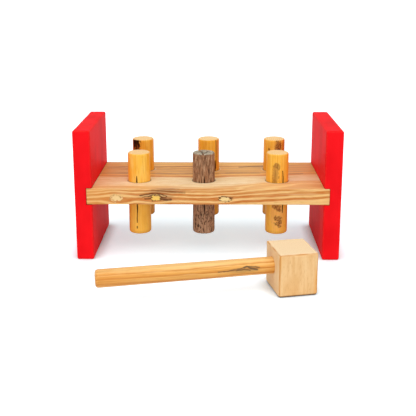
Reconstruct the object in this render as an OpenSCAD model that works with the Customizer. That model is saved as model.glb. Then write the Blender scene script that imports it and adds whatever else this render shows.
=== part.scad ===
// Peg pounding bench: a grooved board at each end, a plank with six holes between them,
// six slit pegs that slide through the holes, and a loose mallet lying in front.
// The origin is the middle of the whole set's footprint, on the surface it stands on.

/* [Bench] */
// Length of the bench over both end boards
bench_l = 290; // [250:1:360]
// Depth of the end boards and of the plank, front to back
bench_d = 124; // [105:1:170]
// Height of the end boards
bench_h = 145; // [125:1:190]
// Thickness of an end board
board_t = 19; // [16:0.5:28]
// Rounding of an end board's edges
board_round = 2; // [0.5:0.1:4]
// Thickness of the plank
plank_t = 18; // [14:0.5:26]
// Rounding of the plank's long edges
plank_round = 0.8; // [0.3:0.1:2]
// Depth of the groove that holds the plank's end
groove_depth = 6; // [3:0.5:8]

/* [Pegs] */
// Diameter of a peg
peg_d = 25; // [16:0.5:34]
// Length of a peg
peg_l = 93; // [85:1:110]
// Rounding of a peg's ends
peg_round = 1.8; // [0.5:0.1:4]
// Height of the front pegs above the plank
front_rise = 33; // [26:0.5:40]
// Height of the rear pegs above the plank
rear_rise = 38; // [26:0.5:42]
// Distance between neighbouring columns of pegs
column_gap = 77.5; // [60:0.5:90]
// Distance between the two rows of pegs
row_gap = 52; // [42:0.5:66]
// Distance of the front middle hole from its column, to the left
stray = 5; // [0:0.5:10]
// Width of the saw slit through a peg
slit_w = 1.3; // [0.6:0.1:3]
// Length of the saw slit
slit_l = 44; // [20:1:60]
// Chamfer round both ends of a peg's hole
rim_chamfer = 0.5; // [0.2:0.1:1.5]

/* [Dowels] */
// Diameter of a dowel between plank and board
dowel_d = 8; // [5:0.5:11]
// Length of a dowel
dowel_l = 30; // [20:1:34]
// Depth of a dowel in the end board
dowel_bite = 9; // [5:0.5:9]
// Distance between the two dowels of an end
dowel_gap = 70; // [30:1:80]

/* [Mallet] */
// Size of the mallet's head along the handle
head_l = 40; // [34:0.5:60]
// Size of the head across the handle
head_w = 46; // [34:0.5:70]
// Height of the head as it stands
head_h = 44; // [34:0.5:60]
// Rounding of the head's edges
head_round = 2.5; // [0.5:0.1:5]
// Diameter of the handle where it enters the head
handle_d = 17; // [12:0.5:24]
// Diameter of the handle at its free end
handle_tip_d = 17.8; // [12:0.1:24]
// Length of the handle outside the head
handle_l = 175; // [120:1:220]
// Rounding of the handle's ends
handle_round = 3; // [1:0.5:5]
// Depth of the handle's socket in the head
socket_depth = 30; // [15:1:32]
// Height of the handle's axis above the middle of the head
handle_offset = 4; // [-4:0.5:4]
// Distance of the head's middle to the right of the bench's middle
mallet_right = 84.5; // [20:0.5:110]
// Distance of the head's middle in front of the bench
mallet_front = 77; // [50:0.5:120]
// Turn of the mallet as it lies, in degrees
mallet_turn = 12.4; // [5:0.1:20]

/* [Hidden] */
$fn = 96;

// Room round a peg in its hole
peg_clear = 0.1;
// Room above and below the plank's end in its groove
groove_clear = 0.1;
// Room round a dowel or the handle in its hole
glue_clear = 0.05;
// Room past a dowel's or the handle's end
glue_depth = 1;
// How far a cut runs past the wood it cuts
overrun = 1;

plank_z = (bench_h - plank_t) / 2;
plank_top = plank_z + plank_t;
inner_x = bench_l / 2 - board_t;
plank_end_x = inner_x + groove_depth;
row_edge = (bench_d - row_gap) / 2;
// Turn of each peg's slit about the peg, in degrees: front row, then rear row
slit_turns = [[-8, 4, 28], [12, 39, -35]];

handle_z = head_h / 2 + handle_offset;
// Reach of the handle's free end in front of the bench, which is the set's front
mallet_reach = mallet_front + (head_l / 2 + handle_l - handle_round) * sin(mallet_turn)
    + (handle_tip_d / 2 - handle_round) * cos(mallet_turn) + handle_round;
bench_front = (mallet_reach - bench_d) / 2;
bench_mid = bench_front + bench_d / 2;

board_red = "#e3141c";
pine = "#dba764";
honey = "#e2a03f";
weathered = "#7d675b";
beech = "#e8c08a";
handle_pine = "#dc9c4e";

module rounded_rect(w, h, r) {
    square([w - 2 * r, h], center = true);
    square([w, h - 2 * r], center = true);
    for (x = [-1, 1], y = [-1, 1])
        translate([x * (w / 2 - r), y * (h / 2 - r)]) circle(r);
}

// A block with rounded edges, standing in the middle of the XY plane
module rounded_block(size, r) {
    translate([0, 0, size.z / 2]) intersection() {
        linear_extrude(size.z + 2 * overrun, center = true) rounded_rect(size.x, size.y, r);
        rotate([90, 0, 0]) linear_extrude(size.y + 2 * overrun, center = true)
            rounded_rect(size.x, size.z, r);
        rotate([90, 0, 90]) linear_extrude(size.x + 2 * overrun, center = true)
            rounded_rect(size.y, size.z, r);
    }
}

// Places what lies along +X from the plank's right end, for both dowels
module at_dowels() {
    for (side = [-1, 1])
        translate([plank_end_x, bench_mid + side * dowel_gap / 2, plank_z + plank_t / 2])
            rotate([0, 90, 0]) children();
}

module dowel_holes() {
    at_dowels() translate([0, 0, dowel_bite - dowel_l - glue_depth])
        cylinder(d = dowel_d + 2 * glue_clear, h = dowel_l + 2 * glue_depth);
}

// The end board on the right
module end_board() {
    groove_h = plank_t + 2 * groove_clear;
    difference() {
        translate([bench_l / 2 - board_t / 2, bench_mid, 0])
            rounded_block([board_t, bench_d, bench_h], board_round);
        translate([inner_x - overrun, bench_front - overrun, plank_z - groove_clear])
            cube([groove_depth + overrun, bench_d + 2 * overrun, groove_h]);
        dowel_holes();
    }
}

module end_dowels() {
    at_dowels() translate([0, 0, dowel_bite - dowel_l]) cylinder(d = dowel_d, h = dowel_l);
}

// Centre of the peg in a row (0 front, 1 rear) and a column (0 left to 2 right)
function peg_x(row, col) = (col - 1) * column_gap - (row == 0 && col == 1 ? stray : 0);
function peg_y(row) = bench_front + row_edge + row * row_gap;

module peg_hole() {
    hole_r = peg_d / 2 + peg_clear;
    translate([0, 0, plank_z - overrun]) cylinder(r = hole_r, h = plank_t + 2 * overrun);
    translate([0, 0, plank_top - rim_chamfer])
        cylinder(r1 = hole_r, r2 = hole_r + rim_chamfer + overrun, h = rim_chamfer + overrun);
    translate([0, 0, plank_z - overrun])
        cylinder(r1 = hole_r + rim_chamfer + overrun, r2 = hole_r, h = rim_chamfer + overrun);
}

module peg(row, col) {
    rise = row == 0 ? front_rise : rear_rise;
    translate([peg_x(row, col), peg_y(row), plank_top + rise - peg_l]) difference() {
        rotate_extrude() {
            square([peg_d / 2 - peg_round, peg_l]);
            translate([0, peg_round]) square([peg_d / 2, peg_l - 2 * peg_round]);
            for (z = [peg_round, peg_l - peg_round])
                translate([peg_d / 2 - peg_round, z]) circle(peg_round);
        }
        translate([0, 0, peg_l / 2]) rotate([0, 0, slit_turns[row][col]])
            cube([slit_w, peg_d + 2 * overrun, slit_l], center = true);
    }
}

// Places the mallet, whose handle runs from the head's middle along -X
module lay_mallet() {
    translate([mallet_right, bench_front - mallet_front, 0])
        rotate([0, 0, mallet_turn]) children();
}

module left_end_board() {
    color(board_red) mirror([1, 0, 0]) end_board();
}

module right_end_board() {
    color(board_red) end_board();
}

module bench_plank() {
    color(pine) difference() {
        translate([0, bench_mid, plank_z + plank_t / 2]) rotate([90, 0, 90])
            linear_extrude(2 * plank_end_x, center = true)
                rounded_rect(bench_d, plank_t, plank_round);
        for (row = [0, 1], col = [0 : 2]) translate([peg_x(row, col), peg_y(row), 0]) peg_hole();
        dowel_holes();
        mirror([1, 0, 0]) dowel_holes();
    }
}

module left_end_dowels() {
    color(beech) mirror([1, 0, 0]) end_dowels();
}

module right_end_dowels() {
    color(beech) end_dowels();
}

module peg_front_left() {
    color(honey) peg(0, 0);
}

module peg_front_centre() {
    color(weathered) peg(0, 1);
}

module peg_front_right() {
    color(honey) peg(0, 2);
}

module peg_rear_left() {
    color(honey) peg(1, 0);
}

module peg_rear_centre() {
    color(honey) peg(1, 1);
}

module peg_rear_right() {
    color(honey) peg(1, 2);
}

module mallet_head() {
    color(beech) lay_mallet() difference() {
        rounded_block([head_l, head_w, head_h], head_round);
        translate([socket_depth + glue_depth - head_l / 2, 0, handle_z]) rotate([0, -90, 0])
            cylinder(d = handle_d + 2 * glue_clear, h = socket_depth + glue_depth + overrun);
    }
}

module mallet_handle() {
    r = handle_d / 2;
    tip_r = handle_tip_d / 2;
    whole = socket_depth + handle_l;
    color(handle_pine) lay_mallet() translate([socket_depth - head_l / 2, 0, handle_z])
        rotate([0, -90, 0]) rotate_extrude() {
            square([r - handle_round, socket_depth]);
            translate([0, handle_round]) square([r, socket_depth - handle_round]);
            translate([r - handle_round, handle_round]) circle(handle_round);
            polygon([[0, socket_depth], [r, socket_depth], [tip_r, whole - handle_round],
                [0, whole - handle_round]]);
            translate([0, whole - 2 * handle_round])
                square([tip_r - handle_round, 2 * handle_round]);
            translate([tip_r - handle_round, whole - handle_round]) circle(handle_round);
        }
}

left_end_board();
right_end_board();
bench_plank();
left_end_dowels();
right_end_dowels();
peg_front_left();
peg_front_centre();
peg_front_right();
peg_rear_left();
peg_rear_centre();
peg_rear_right();
mallet_head();
mallet_handle();
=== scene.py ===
import math

import bmesh
import bpy
import numpy as np
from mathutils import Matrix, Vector, noise


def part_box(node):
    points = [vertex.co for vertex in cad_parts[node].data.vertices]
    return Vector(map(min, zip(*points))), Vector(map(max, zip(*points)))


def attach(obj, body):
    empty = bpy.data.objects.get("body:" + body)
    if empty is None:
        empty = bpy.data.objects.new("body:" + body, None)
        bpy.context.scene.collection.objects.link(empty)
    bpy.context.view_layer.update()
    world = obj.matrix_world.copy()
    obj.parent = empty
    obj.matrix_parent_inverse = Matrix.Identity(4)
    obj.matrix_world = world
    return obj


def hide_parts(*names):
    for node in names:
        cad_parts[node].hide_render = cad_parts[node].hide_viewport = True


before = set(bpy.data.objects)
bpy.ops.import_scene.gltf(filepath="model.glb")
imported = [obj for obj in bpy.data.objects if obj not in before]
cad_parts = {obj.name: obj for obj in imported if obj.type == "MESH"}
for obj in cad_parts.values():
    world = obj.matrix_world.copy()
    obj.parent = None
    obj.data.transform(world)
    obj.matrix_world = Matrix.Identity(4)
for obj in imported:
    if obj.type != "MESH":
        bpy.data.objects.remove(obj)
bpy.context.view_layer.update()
mm = 0.001    # sizes below are in millimetres, the scene is in metres
close = 0.01  # places this near to each other count as one, in mm


# Shared helpers

def srgb(code):  # hex as a colour picker shows it, to linear
    parts = [int(code[i:i + 2], 16) / 255 for i in (1, 3, 5)]
    return [c / 12.92 if c <= 0.04045 else ((c + 0.055) / 1.055) ** 2.4 for c in parts] + [1]


def addNode(tree, kind, links=None, stops=None, **settings):
    node = tree.nodes.new("ShaderNode" + kind)
    for key, value in settings.items():
        setattr(node, key, value)
    for key, value in (links or {}).items():
        if isinstance(value, bpy.types.NodeSocket):
            tree.links.new(value, node.inputs[key])
        else:
            node.inputs[key].default_value = value
    if stops:  # of a colour ramp: place, and hex or a plain value
        ramp = node.color_ramp.elements
        while len(ramp) < len(stops):
            ramp.new(1)
        for element, (place, code) in zip(ramp, stops):
            element.position = place
            element.color = srgb(code) if isinstance(code, str) else (code, code, code, 1)
    return node.outputs


def newMaterial(name):
    material = bpy.data.materials.new(name)
    material.use_nodes = True
    material.node_tree.nodes.clear()
    return material, material.node_tree


def inMillimetres(tree):  # the piece's own coordinates, in mm
    place = addNode(tree, "TexCoord")["Object"]
    return addNode(tree, "VectorMath", {0: place, "Scale": 1 / mm}, operation="SCALE")[0]


def grain(tree, place, spacing, detail=2):
    # noise from 0 to 1; spacing is the size of one lump along X, Y and Z
    scaled = addNode(tree, "VectorMath", {0: place, 1: [1 / s for s in spacing]}, operation="MULTIPLY")[0]
    return addNode(tree, "TexNoise", {"Vector": scaled, "Scale": 1, "Detail": detail})


def wander(tree, place, spacing, amount, detail=3):
    # a vector that bends lines and edges by up to half the amount
    lumpy = grain(tree, place, spacing, detail)["Color"]
    centred = addNode(tree, "VectorMath", {0: lumpy, 1: (0.5, 0.5, 0.5)}, operation="SUBTRACT")[0]
    return addNode(tree, "VectorMath", {0: centred, "Scale": amount}, operation="SCALE")[0]


def bentPlace(tree, place, spacing, amount, detail=3, shifted=None):
    # the place itself moved by such a vector, which may be read at a shifted place
    vector = wander(tree, shifted or place, spacing, amount, detail)
    return addNode(tree, "VectorMath", {0: place, 1: vector}, operation="ADD")[0]


def coated(tree, colour, pattern, start, full, most, code, where=None):
    # lays a colour over another where the pattern goes from start to full, at most this thick
    share = addNode(tree, "MapRange", {0: pattern, 1: start, 2: full, 3: 0, 4: most},
                    interpolation_type="SMOOTHSTEP")[0]
    if where:
        share = addNode(tree, "Math", {0: share, 1: where}, operation="MULTIPLY")[0]
    above = srgb(code) if isinstance(code, str) else code
    return addNode(tree, "Mix", {0: share, 6: colour, 7: above}, data_type="RGBA")[2]


def layered(tree, colour, layers):  # coats laid one over another
    for layer in layers:
        colour = coated(tree, colour, *layer)
    return colour


def ovalReach(tree, place, wobble, middle, half):  # 0 in the middle of an uneven oval, 1 at its edge
    away = addNode(tree, "VectorMath", {0: place, 1: middle}, operation="SUBTRACT")[0]
    share = addNode(tree, "VectorMath", {0: away, 1: half}, operation="DIVIDE")[0]
    share = addNode(tree, "VectorMath", {0: share, 1: wobble}, operation="ADD")[0]
    return addNode(tree, "VectorMath", {0: share}, operation="LENGTH")["Value"]


def lineReach(tree, place, points):  # distance in mm to a line through the points
    nearest = None
    for start, stop in zip(points, points[1:]):
        along = Vector(stop) - Vector(start)
        away = addNode(tree, "VectorMath", {0: place, 1: start}, operation="SUBTRACT")[0]
        share = addNode(tree, "VectorMath", {0: away, 1: along / along.length_squared},
                        operation="DOT_PRODUCT")["Value"]
        share = addNode(tree, "Math", {0: share, 1: 0}, operation="ADD", use_clamp=True)[0]
        foot = addNode(tree, "VectorMath", {0: along, "Scale": share}, operation="SCALE")[0]
        gap = addNode(tree, "VectorMath", {0: away, 1: foot}, operation="DISTANCE")["Value"]
        if nearest is not None:
            gap = addNode(tree, "Math", {0: nearest, 1: gap}, operation="MINIMUM")[0]
        nearest = gap
    return nearest


def cracked(tree, colour, level, place, cracks, core, share, code, depth):
    # draws each crack dark and sinks it; the core is the share of its width that is darkest
    for width, line in cracks:
        reach = lineReach(tree, place, line)
        colour = coated(tree, colour, reach, width, width * core, share, code)
        cleft = addNode(tree, "MapRange", {0: reach, 1: width, 2: 0, 3: 0, 4: depth})[0]
        level = addNode(tree, "Math", {0: level, 1: cleft}, operation="SUBTRACT")[0]
    return colour, level


def yearRing(tree, place, pith, across, width):  # 0 to 1 through each ring round the tree's middle
    away = addNode(tree, "VectorMath", {0: place, 1: pith}, operation="SUBTRACT")[0]
    away = addNode(tree, "VectorMath", {0: away, 1: across}, operation="MULTIPLY")[0]
    ringAt = addNode(tree, "VectorMath", {0: away}, operation="LENGTH")["Value"]
    ringAt = addNode(tree, "Math", {0: ringAt, 1: 1 / width}, operation="MULTIPLY")[0]
    return addNode(tree, "Math", {0: ringAt}, operation="FRACT")[0]


def finishMaterial(tree, colour, roughness, height, depth, shine):  # depth of the relief, in mm
    bump = addNode(tree, "Bump", {"Height": height, "Distance": depth * mm, "Strength": 1})[0]
    surface = addNode(tree, "BsdfPrincipled",
                      {"Base Color": colour, "Roughness": roughness, "Normal": bump, "IOR": 1.5,
                       "Specular IOR Level": shine})[0]
    addNode(tree, "OutputMaterial", {"Surface": surface})


def gridLines(values, low, high, step):  # from low to high through all the values, at most a step apart
    fixed = sorted({low, high, *(v for v in values if low < v < high)})
    lines = []
    for a, b in zip(fixed, fixed[1:]):
        count = max(1, math.ceil((b - a) / step - 1e-6))
        lines += [a + (b - a) * i / count for i in range(count)]
    return lines + [high]


def edgeLines(low, high, r, count):  # places across the rounded stretch at both ends
    steps = [r * n / count for n in range(1, count + 1)]
    return [low + step for step in steps] + [high - step for step in steps]


def blockMesh(lines, filled):  # the skin of all filled cells between the grid lines
    counts = [len(axis) - 1 for axis in lines]
    solid = np.zeros([n + 2 for n in counts], bool)
    for i, j, k in np.ndindex(*counts):
        middle = [(axis[n] + axis[n + 1]) / 2 for axis, n in zip(lines, (i, j, k))]
        solid[i + 1, j + 1, k + 1] = filled(*middle)
    points, index, faces = [], {}, []

    def corner(key):
        if key not in index:
            index[key] = len(points)
            points.append([axis[n] for axis, n in zip(lines, key)])
        return index[key]

    for axis in range(3):
        u, v = (axis + 1) % 3, (axis + 2) % 3
        for side in (0, 1):
            bare = solid & ~np.roll(solid, -1 if side else 1, axis)
            for cell in np.argwhere(bare) - 1:
                turns = ((0, 0), (1, 0), (1, 1), (0, 1)) if side else ((0, 0), (0, 1), (1, 1), (1, 0))
                face = []
                for a, b in turns:
                    key = [int(n) for n in cell]
                    key[axis] += side
                    key[u] += a
                    key[v] += b
                    face.append(corner(tuple(key)))
                faces.append(face)
    return np.array(points), faces


def weldedMesh(grids):  # quads between the rows of each grid, with equal points made one
    points, index, faces = [], {}, []

    def corner(p):
        key = tuple(round(c * 2000) for c in p)  # half a thousandth of a millimetre
        if key not in index:
            index[key] = len(points)
            points.append(tuple(p))
        return index[key]

    for rows in grids:
        for below, above in zip(rows, rows[1:]):
            for i in range(len(below) - 1):
                loop = [corner(p) for p in (below[i], below[i + 1], above[i + 1], above[i])]
                face = [v for n, v in enumerate(loop) if v != loop[n - 1]]
                if len(set(face)) > 2:
                    faces.append(face)
    return np.array(points), faces


def outwardFaces(points, faces):  # turns all faces outwards, and gives the normal at each point
    bm = bmesh.new()
    for p in points:
        bm.verts.new(p)
    bm.verts.ensure_lookup_table()
    for face in faces:
        bm.faces.new([bm.verts[v] for v in face])
    bmesh.ops.recalc_face_normals(bm, faces=bm.faces)
    bm.normal_update()
    bm.verts.index_update()
    faces = [[v.index for v in face.verts] for face in bm.faces]
    normals = np.array([v.normal for v in bm.verts])
    bm.free()
    return faces, normals


def roundBlock(points, low, high, radii):  # rounds the outer edges of a block's skin; one radius per point
    inner = np.clip(points, np.array(low) + radii[:, None], np.array(high) - radii[:, None])
    away = points - inner
    length = np.linalg.norm(away, axis=1)
    outside = length > 1e-9
    points = points.copy()
    points[outside] = inner[outside] + away[outside] / length[outside, None] * radii[outside, None]
    return points


def squareToRound(points, centre, square, spread, radius):
    # pushes grid points so that a square hole in them becomes round; the grid is square again at the spread
    away = points - centre
    longest = np.abs(away).max(axis=1)
    length = np.maximum(np.linalg.norm(away, axis=1), 1e-9)
    blend = np.clip((longest - square) / (spread - square), 0, 1)
    scale = (1 - blend) * longest / length * radius / square + blend
    return centre + away * scale[:, None], longest, blend


def lumps(points, size, seed, detail=2):  # smooth noise from about -1 to 1 at each point
    size = np.array(size if hasattr(size, "__len__") else (size,) * 3)
    shift = Vector((seed * 17.3, seed * 5.1, seed * 9.7))
    return np.clip([noise.fractal(Vector(p / size) + shift, 0.6, 2.0, detail) for p in points], -1, 1)


def hollows(points, size, seed):  # the same from about 0 to 1
    return 0.5 + 0.5 * lumps(points, size, seed)


def nearLine(points, line):  # distance from each point to a line through several points
    best = np.full(len(points), 1e9)
    for a, b in zip(np.array(line, float), np.array(line, float)[1:]):
        share = np.clip((points - a) @ (b - a) / ((b - a) @ (b - a)), 0, 1)
        best = np.minimum(best, np.linalg.norm(points - a - share[:, None] * (b - a), axis=1))
    return best


def makePiece(name, points, faces, body, slot, material, origin=(0, 0, 0), turn=0, **attributes):
    mesh = bpy.data.meshes.new(name)
    mesh.from_pydata((points * mm).tolist(), [], faces)
    for key, values in attributes.items():
        mesh.attributes.new(key, "FLOAT", "POINT").data.foreach_set("value", np.asarray(values, np.float32))
    mesh.polygons.foreach_set("use_smooth", [True] * len(faces))
    mesh.set_sharp_from_angle(angle=math.radians(55))
    mesh.materials.append(material)
    piece = bpy.data.objects.new(name, mesh)
    piece.location = Vector(origin) * mm
    piece.rotation_euler.z = math.radians(turn)
    bpy.context.collection.objects.link(piece)
    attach(piece, body)
    print("made", name, "with", len(faces), "faces")
    return piece


def boxOf(node):  # a CAD node's corners in mm
    return [np.array(corner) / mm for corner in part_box(node)]


# Camera, light and floor

camera = {
    "place": (8.216, -785.802, 301.214),
    "pitch": 13.86,      # degrees below the horizon
    "yaw": 0.567,        # degrees to the left
    "focal": 755.741,    # pixels
    "axisRow": 166,      # pixel row and column where the lens points
    "axisColumn": 208.23,
    "frame": 416,        # pixels each way
    "sensor": 36,
}


def makeCamera(spec):
    data = bpy.data.cameras.new("camera")
    data.sensor_width = spec["sensor"]
    data.lens = spec["focal"] / spec["frame"] * spec["sensor"]
    data.shift_x = (spec["frame"] / 2 - spec["axisColumn"]) / spec["frame"]
    data.shift_y = (spec["axisRow"] - spec["frame"] / 2) / spec["frame"]
    data.clip_start, data.clip_end = 0.01, 100
    thing = bpy.data.objects.new("camera", data)
    thing.location = Vector(spec["place"]) * mm
    thing.rotation_euler = (math.radians(90 - spec["pitch"]), 0, math.radians(spec["yaw"]))
    bpy.context.collection.objects.link(thing)
    bpy.context.scene.camera = thing


makeCamera(camera)
print("camera placed")

studio = {
    "sky": 0.53,               # light from all round, where 1 lights a white surface to white
    "lamps": [                 # share of white light, direction it comes from, softbox size in degrees
        {"share": 0.28, "azimuth": -50, "height": 60, "softness": 58},
        {"share": 0.28, "azimuth": 50, "height": 60, "softness": 58},
        {"share": 0.24, "azimuth": 0, "height": 16, "softness": 70},
    ],
    "floorSize": 30000,
    "paper": 0.86,             # how much light the floor throws back on the object
    "seenPaper": (0.78, 0.83, 0.85),  # how strongly the camera sees light and shadow on it
    "seenGlow": (0.41, 0.49, 0.53),   # what the camera sees besides: cool, to even out the wood's warm cast
    "contact": 14,             # painted contact shade: the glow fades within this distance of what stands on the floor
}


def seenDirectly(tree):  # 1 for what the camera sees straight, in a reflection or through glass
    ray = addNode(tree, "LightPath")
    seen = addNode(tree, "Math", {0: ray["Is Camera Ray"], 1: ray["Is Glossy Ray"]}, operation="MAXIMUM")[0]
    return addNode(tree, "Math", {0: seen, 1: ray["Is Transmission Ray"]}, operation="MAXIMUM")[0]


def makeStudio(spec):
    world = bpy.data.worlds.new("studio")
    bpy.context.scene.world = world
    world.use_nodes = True
    world.node_tree.nodes.clear()
    tree = world.node_tree
    strength = addNode(tree, "MapRange", {0: seenDirectly(tree), 3: spec["sky"], 4: 1})[0]
    sky = addNode(tree, "Background", {"Color": (1, 1, 1, 1), "Strength": strength})[0]
    addNode(tree, "OutputWorld", {"Surface": sky})
    for number, lamp in enumerate(spec["lamps"]):
        data = bpy.data.lights.new(f"softbox{number + 1}", "SUN")
        data.energy = lamp["share"] * math.pi
        data.angle = math.radians(lamp["softness"])
        thing = bpy.data.objects.new(data.name, data)
        thing.rotation_euler = (math.radians(90 - lamp["height"]), 0, math.radians(lamp["azimuth"]))
        bpy.context.collection.objects.link(thing)
    half = spec["floorSize"] / 2 * mm
    mesh = bpy.data.meshes.new("floor")
    corners = [(-half, -half, 0), (half, -half, 0), (half, half, 0), (-half, half, 0)]
    mesh.from_pydata(corners, [], [(0, 1, 2, 3)])
    floor = bpy.data.objects.new("floor", mesh)
    bpy.context.collection.objects.link(floor)
    material, tree = newMaterial("mattStudioPaper")
    seen = seenDirectly(tree)
    paper = addNode(tree, "Mix", {0: seen, 6: (*[spec["paper"]] * 3, 1), 7: (*spec["seenPaper"], 1)},
                    data_type="RGBA")[2]
    lit = addNode(tree, "BsdfDiffuse", {"Color": paper})[0]
    # painted contact shade: the glow that the camera sees is dimmed where something stands close by
    bare = addNode(tree, "AmbientOcclusion", {"Distance": spec["contact"] * mm}, samples=8)["AO"]
    bare = addNode(tree, "Math", {0: bare, 1: bare}, operation="MULTIPLY")[0]
    glow = addNode(tree, "Math", {0: seen, 1: bare}, operation="MULTIPLY")[0]
    shine = addNode(tree, "Emission", {"Color": (*spec["seenGlow"], 1), "Strength": glow})[0]
    both = addNode(tree, "AddShader", {0: lit, 1: shine})[0]
    addNode(tree, "OutputMaterial", {"Surface": both})
    mesh.materials.append(material)


makeStudio(studio)
bpy.context.scene.view_settings.view_transform = "Standard"
print("studio lit")


# End boards

board = {
    "rounding": 2.0,       # of the outer edges, as sanded
    "uneven": 0.2,         # how much the rounding varies along an edge, as a share of it
    "mouth": 0.6,          # how far the groove's mouth is eased
    "grooveRoom": 0.1,     # above and below the plank's end
    "wornWidth": 2.4,      # from an edge, where the paint is thin and lighter as a painted highlight
    "cell": 2.2,
    "sway": 0.10,          # how far the sanding wanders
    "red": "#F6161E",
    "deepRed": "#E61018",
    "thinPaintAndHighlightRed": "#FA5440",  # paint draws thin over the edges, lighter there also as a painted highlight
    "seamRed": "#5E0606",  # paint and dust in the joint with the plank, darkened further as painted shade in the gap
    "bristles": 1.4,       # distance between brush marks
    "skin": 1.8,           # size of the lumps in the paint's skin
    "roughness": (0.52, 0.66),
}


def brushedEnamel(spec):
    # Enamel brushed over sanded board: an even, deep red with a soft satin sheen,
    # faint brush marks along the board, and lighter red over the edges: thinner paint and a painted highlight
    material, tree = newMaterial("brushedRedEnamel")
    place = inMillimetres(tree)
    clouds = grain(tree, place, (34, 34, 52))[0]
    patches = grain(tree, place, (2.4, 2.4, 2.4), 3)[0]
    edge = addNode(tree, "Attribute", attribute_name="edge")["Fac"]
    # lighter red along the edges: thinner paint, and a painted highlight on the rounded edges
    thinPaintAndHighlight = addNode(tree, "Math", {0: edge, 1: patches}, operation="MULTIPLY")[0]
    # seam: dust in the joint, and painted shade in the gap round the plank's end
    seam = addNode(tree, "Attribute", attribute_name="seam")["Fac"]
    colour = layered(tree, srgb(spec["deepRed"]), [
        (clouds, 0.3, 0.65, 1, spec["red"]),
        (thinPaintAndHighlight, 0.22, 0.72, 0.4, spec["thinPaintAndHighlightRed"]),
        (seam, 0.1, 0.9, 0.9, spec["seamRed"]),
    ])
    bristles = grain(tree, place, (spec["bristles"], 60, 60), 3)[0]
    skin = grain(tree, place, (spec["skin"],) * 3, 1)[0]
    height = addNode(tree, "Math", {0: bristles, 1: 0.6, 2: skin}, operation="MULTIPLY_ADD")[0]
    low, high = spec["roughness"]
    rough = addNode(tree, "MapRange", {0: patches, 3: low, 4: high})[0]
    finishMaterial(tree, colour, rough, height, 0.03, 0.04)
    return material


def makeBoard(spec, node, side, material):
    low, high = boxOf(node)
    plankLow, plankHigh = boxOf("bench_plank")
    inner = low[0] if side > 0 else high[0]
    grooveFloor = plankHigh[0] if side > 0 else plankLow[0]
    grooveLow, grooveHigh = plankLow[2] - spec["grooveRoom"], plankHigh[2] + spec["grooveRoom"]
    mouth = spec["mouth"]
    ends = [edgeLines(a, b, spec["rounding"] * 1.3, 4) for a, b in zip(low, high)]
    lips = [z + n * mouth for z in (grooveLow, grooveHigh) for n in (-2, -1, 0, 1, 2)]
    lips = [z for z in lips if not grooveLow < z < grooveHigh]
    extra = ([grooveFloor, grooveFloor + side * mouth, inner + side * mouth, inner + 2 * side * mouth],
             [low[1] + mouth, high[1] - mouth], lips)
    lines = [gridLines(a + b, c, d, spec["cell"]) for a, b, c, d in zip(ends, extra, low, high)]

    def filled(x, y, z):
        return not (grooveLow < z < grooveHigh and side * (x - grooveFloor) < 0)

    points, faces = blockMesh(lines, filled)
    centre, half = (low + high) / 2, (high - low) / 2
    toEdge = np.sort(half - np.abs(points - centre), axis=1)[:, 1]
    edge = np.clip(1 - toEdge / spec["wornWidth"], 0, 1)
    radii = spec["rounding"] * (1.08 + spec["uneven"] * lumps(points, 22, 3 + side))
    shaped = roundBlock(points, low, high, radii)
    toLip = np.minimum(np.abs(points[:, 2] - grooveLow), np.abs(points[:, 2] - grooveHigh))
    toMouth = np.hypot(points[:, 0] - inner, toLip)
    eased = np.clip(1 - toMouth / mouth, 0, 1)
    upOrDown = np.where(points[:, 2] < (grooveLow + grooveHigh) / 2, -1, 1)
    shaped[:, 0] += side * 0.5 * mouth * eased
    shaped[:, 2] += upOrDown * 0.5 * mouth * eased
    onWalls = (points[:, 2] > grooveLow - close) & (points[:, 2] < grooveHigh + close)
    onWalls &= (side * (points[:, 0] - inner) > -close) & (side * (points[:, 0] - grooveFloor) < close)
    seam = np.maximum(eased, onWalls)
    sway = spec["sway"] * hollows(points, 26, 8 + side)
    shaped[:, :2] += np.clip((centre - shaped) / half, -1, 1)[:, :2] * sway[:, None]
    shaped[:, 2] -= np.where(points[:, 2] > high[2] - 4, sway, 0)
    piece = makePiece(node + "_painted", shaped, faces, "bench", "end_board_paint", material,
                      edge=edge, seam=seam)
    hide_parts(node)


enamel = brushedEnamel(board)
makeBoard(board, "left_end_board", -1, enamel)
makeBoard(board, "right_end_board", 1, enamel)


# Plank

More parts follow.
